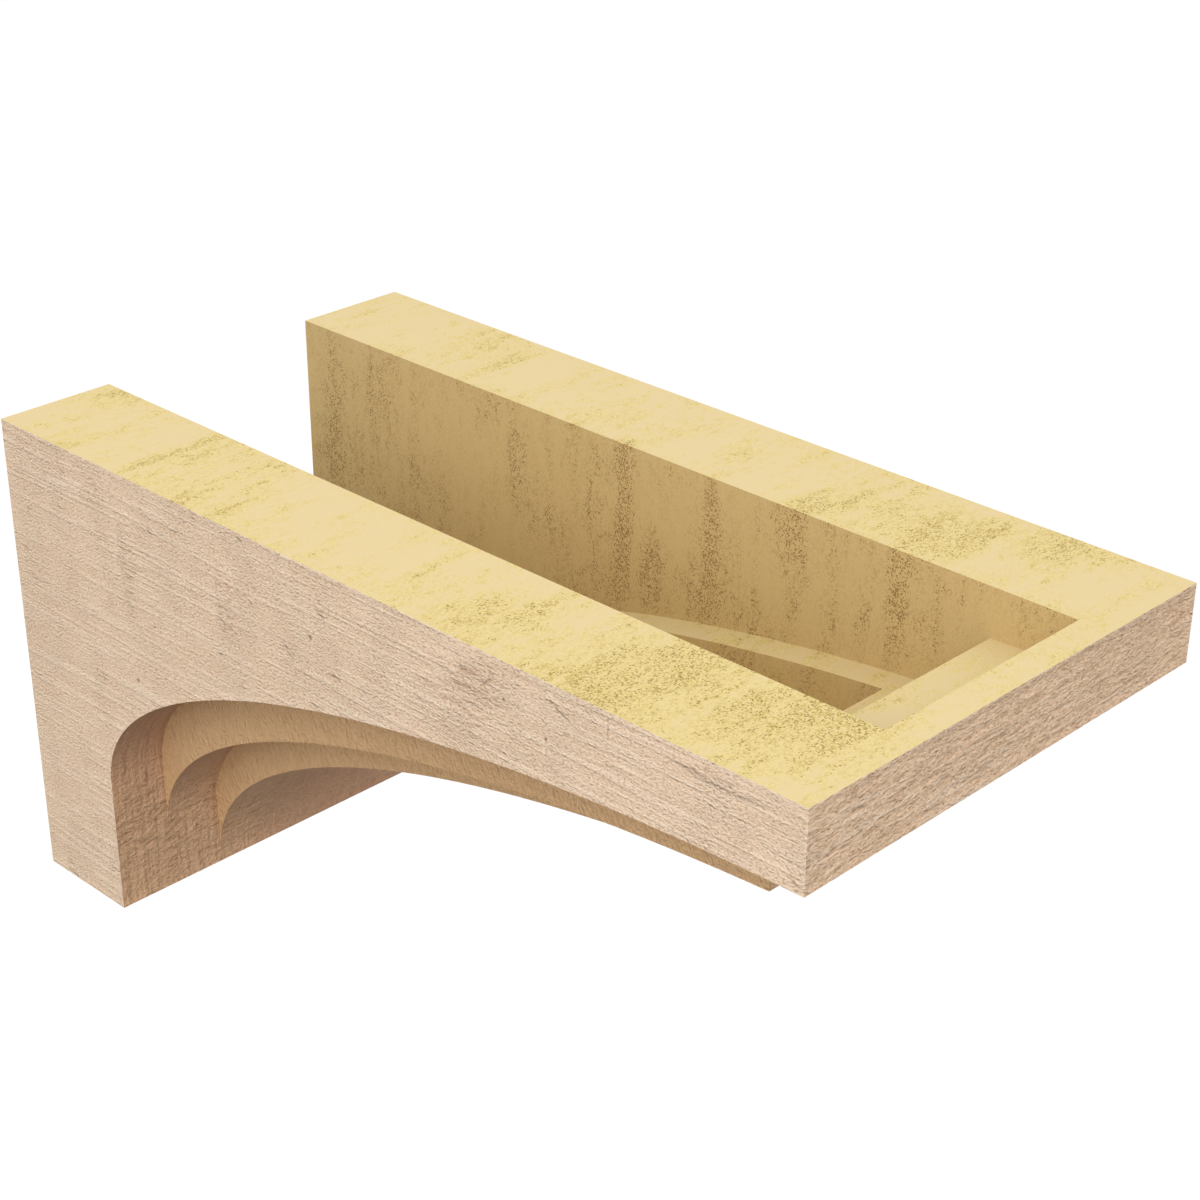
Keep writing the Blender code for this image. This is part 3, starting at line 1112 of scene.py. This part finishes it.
scene = bpy.context.scene
away = Vector((
    math.sin(AZIMUTH) * math.cos(ELEVATION),
    -math.cos(AZIMUTH) * math.cos(ELEVATION),
    math.sin(ELEVATION),
))
turn = (-away).to_track_quat("-Z", "Y").to_matrix().to_4x4() @ Matrix.Rotation(ROLL, 4, "Z")
lens = bpy.data.cameras.new("camera")
lens.lens, lens.sensor_width = LENS_MM, SENSOR_MM
lens.shift_x, lens.shift_y = SHIFT
camera = bpy.data.objects.new("camera", lens)
camera.matrix_world = Matrix.Translation(CAMERA_AT) @ turn
scene.collection.objects.link(camera)
scene.camera = camera
print("camera at %.2f, %.2f, %.2f with a %.0f mm lens" % (*CAMERA_AT, LENS_MM))

# %% [markdown]
# Light and floor
#
# The picture has the even light of a white studio: bright from above, a little more from the
# front left, and much less from below, with no hard shadow. A world that is bright down to the
# horizon and dim below it gives that, and one broad lamp adds the front left. The floor is far
# below, because the corbel hangs on a wall. It is pale, lit to white, and hidden from bounced
# light, so that the underside keeps its depth.

# %% Light and floor
SKY, BELOW = 1.06, 0.16
DIM_UNDER, BRIGHT_OVER = -0.14, -0.02
KEY_WATTS, KEY_SIZE = 36, 2.2
KEY_AT, KEY_AIM = Vector((-2.4, -1.3, 1.9)), Vector((0, -0.3, 0.15))
FLOOR_BELOW, FLOOR_REACH = 1.2, 150
FLOOR_WHITE, FLOOR_ROUGH = (0.94, 0.94, 0.94, 1), 0.9

scene.view_settings.view_transform = "Standard"
world = bpy.data.worlds.new("studio")
world.use_nodes = True
nodes, links = world.node_tree.nodes, world.node_tree.links
direction = nodes.new("ShaderNodeTexCoord")
split = nodes.new("ShaderNodeSeparateXYZ")
rise = nodes.new("ShaderNodeMapRange")
rise.interpolation_type = "SMOOTHSTEP"
rise.inputs["From Min"].default_value = DIM_UNDER
rise.inputs["From Max"].default_value = BRIGHT_OVER
rise.inputs["To Min"].default_value = BELOW
rise.inputs["To Max"].default_value = SKY
links.new(direction.outputs["Generated"], split.inputs[0])
links.new(split.outputs["Z"], rise.inputs["Value"])
links.new(rise.outputs["Result"], nodes["Background"].inputs["Strength"])
nodes["Background"].inputs["Color"].default_value = (1, 1, 1, 1)
scene.world = world

key = bpy.data.lights.new("key", "AREA")
key.shape, key.size, key.energy = "DISK", KEY_SIZE, KEY_WATTS
key_lamp = bpy.data.objects.new("key", key)
key_turn = (KEY_AIM - KEY_AT).to_track_quat("-Z", "Y").to_matrix().to_4x4()
key_lamp.matrix_world = Matrix.Translation(KEY_AT) @ key_turn
scene.collection.objects.link(key_lamp)

floor_x = FLOOR_REACH * np.array([-1, 1, 1, -1])
floor_corners = points(floor_x, np.roll(floor_x, 1), FOOT - FLOOR_BELOW)
floor_mesh = bpy.data.meshes.new("floor")
floor_mesh.from_pydata(floor_corners.tolist(), [], [(0, 1, 2, 3)])
pale = Finish("pale_floor")
pale.shader.inputs["Roughness"].default_value = FLOOR_ROUGH
pale.shader.inputs["Base Color"].default_value = FLOOR_WHITE
floor_mesh.materials.append(pale.material)
floor = bpy.data.objects.new("floor", floor_mesh)
scene.collection.objects.link(floor)
floor.visible_diffuse = False
print("lamp of", KEY_WATTS, "W, floor", FLOOR_BELOW, "m below the foot")
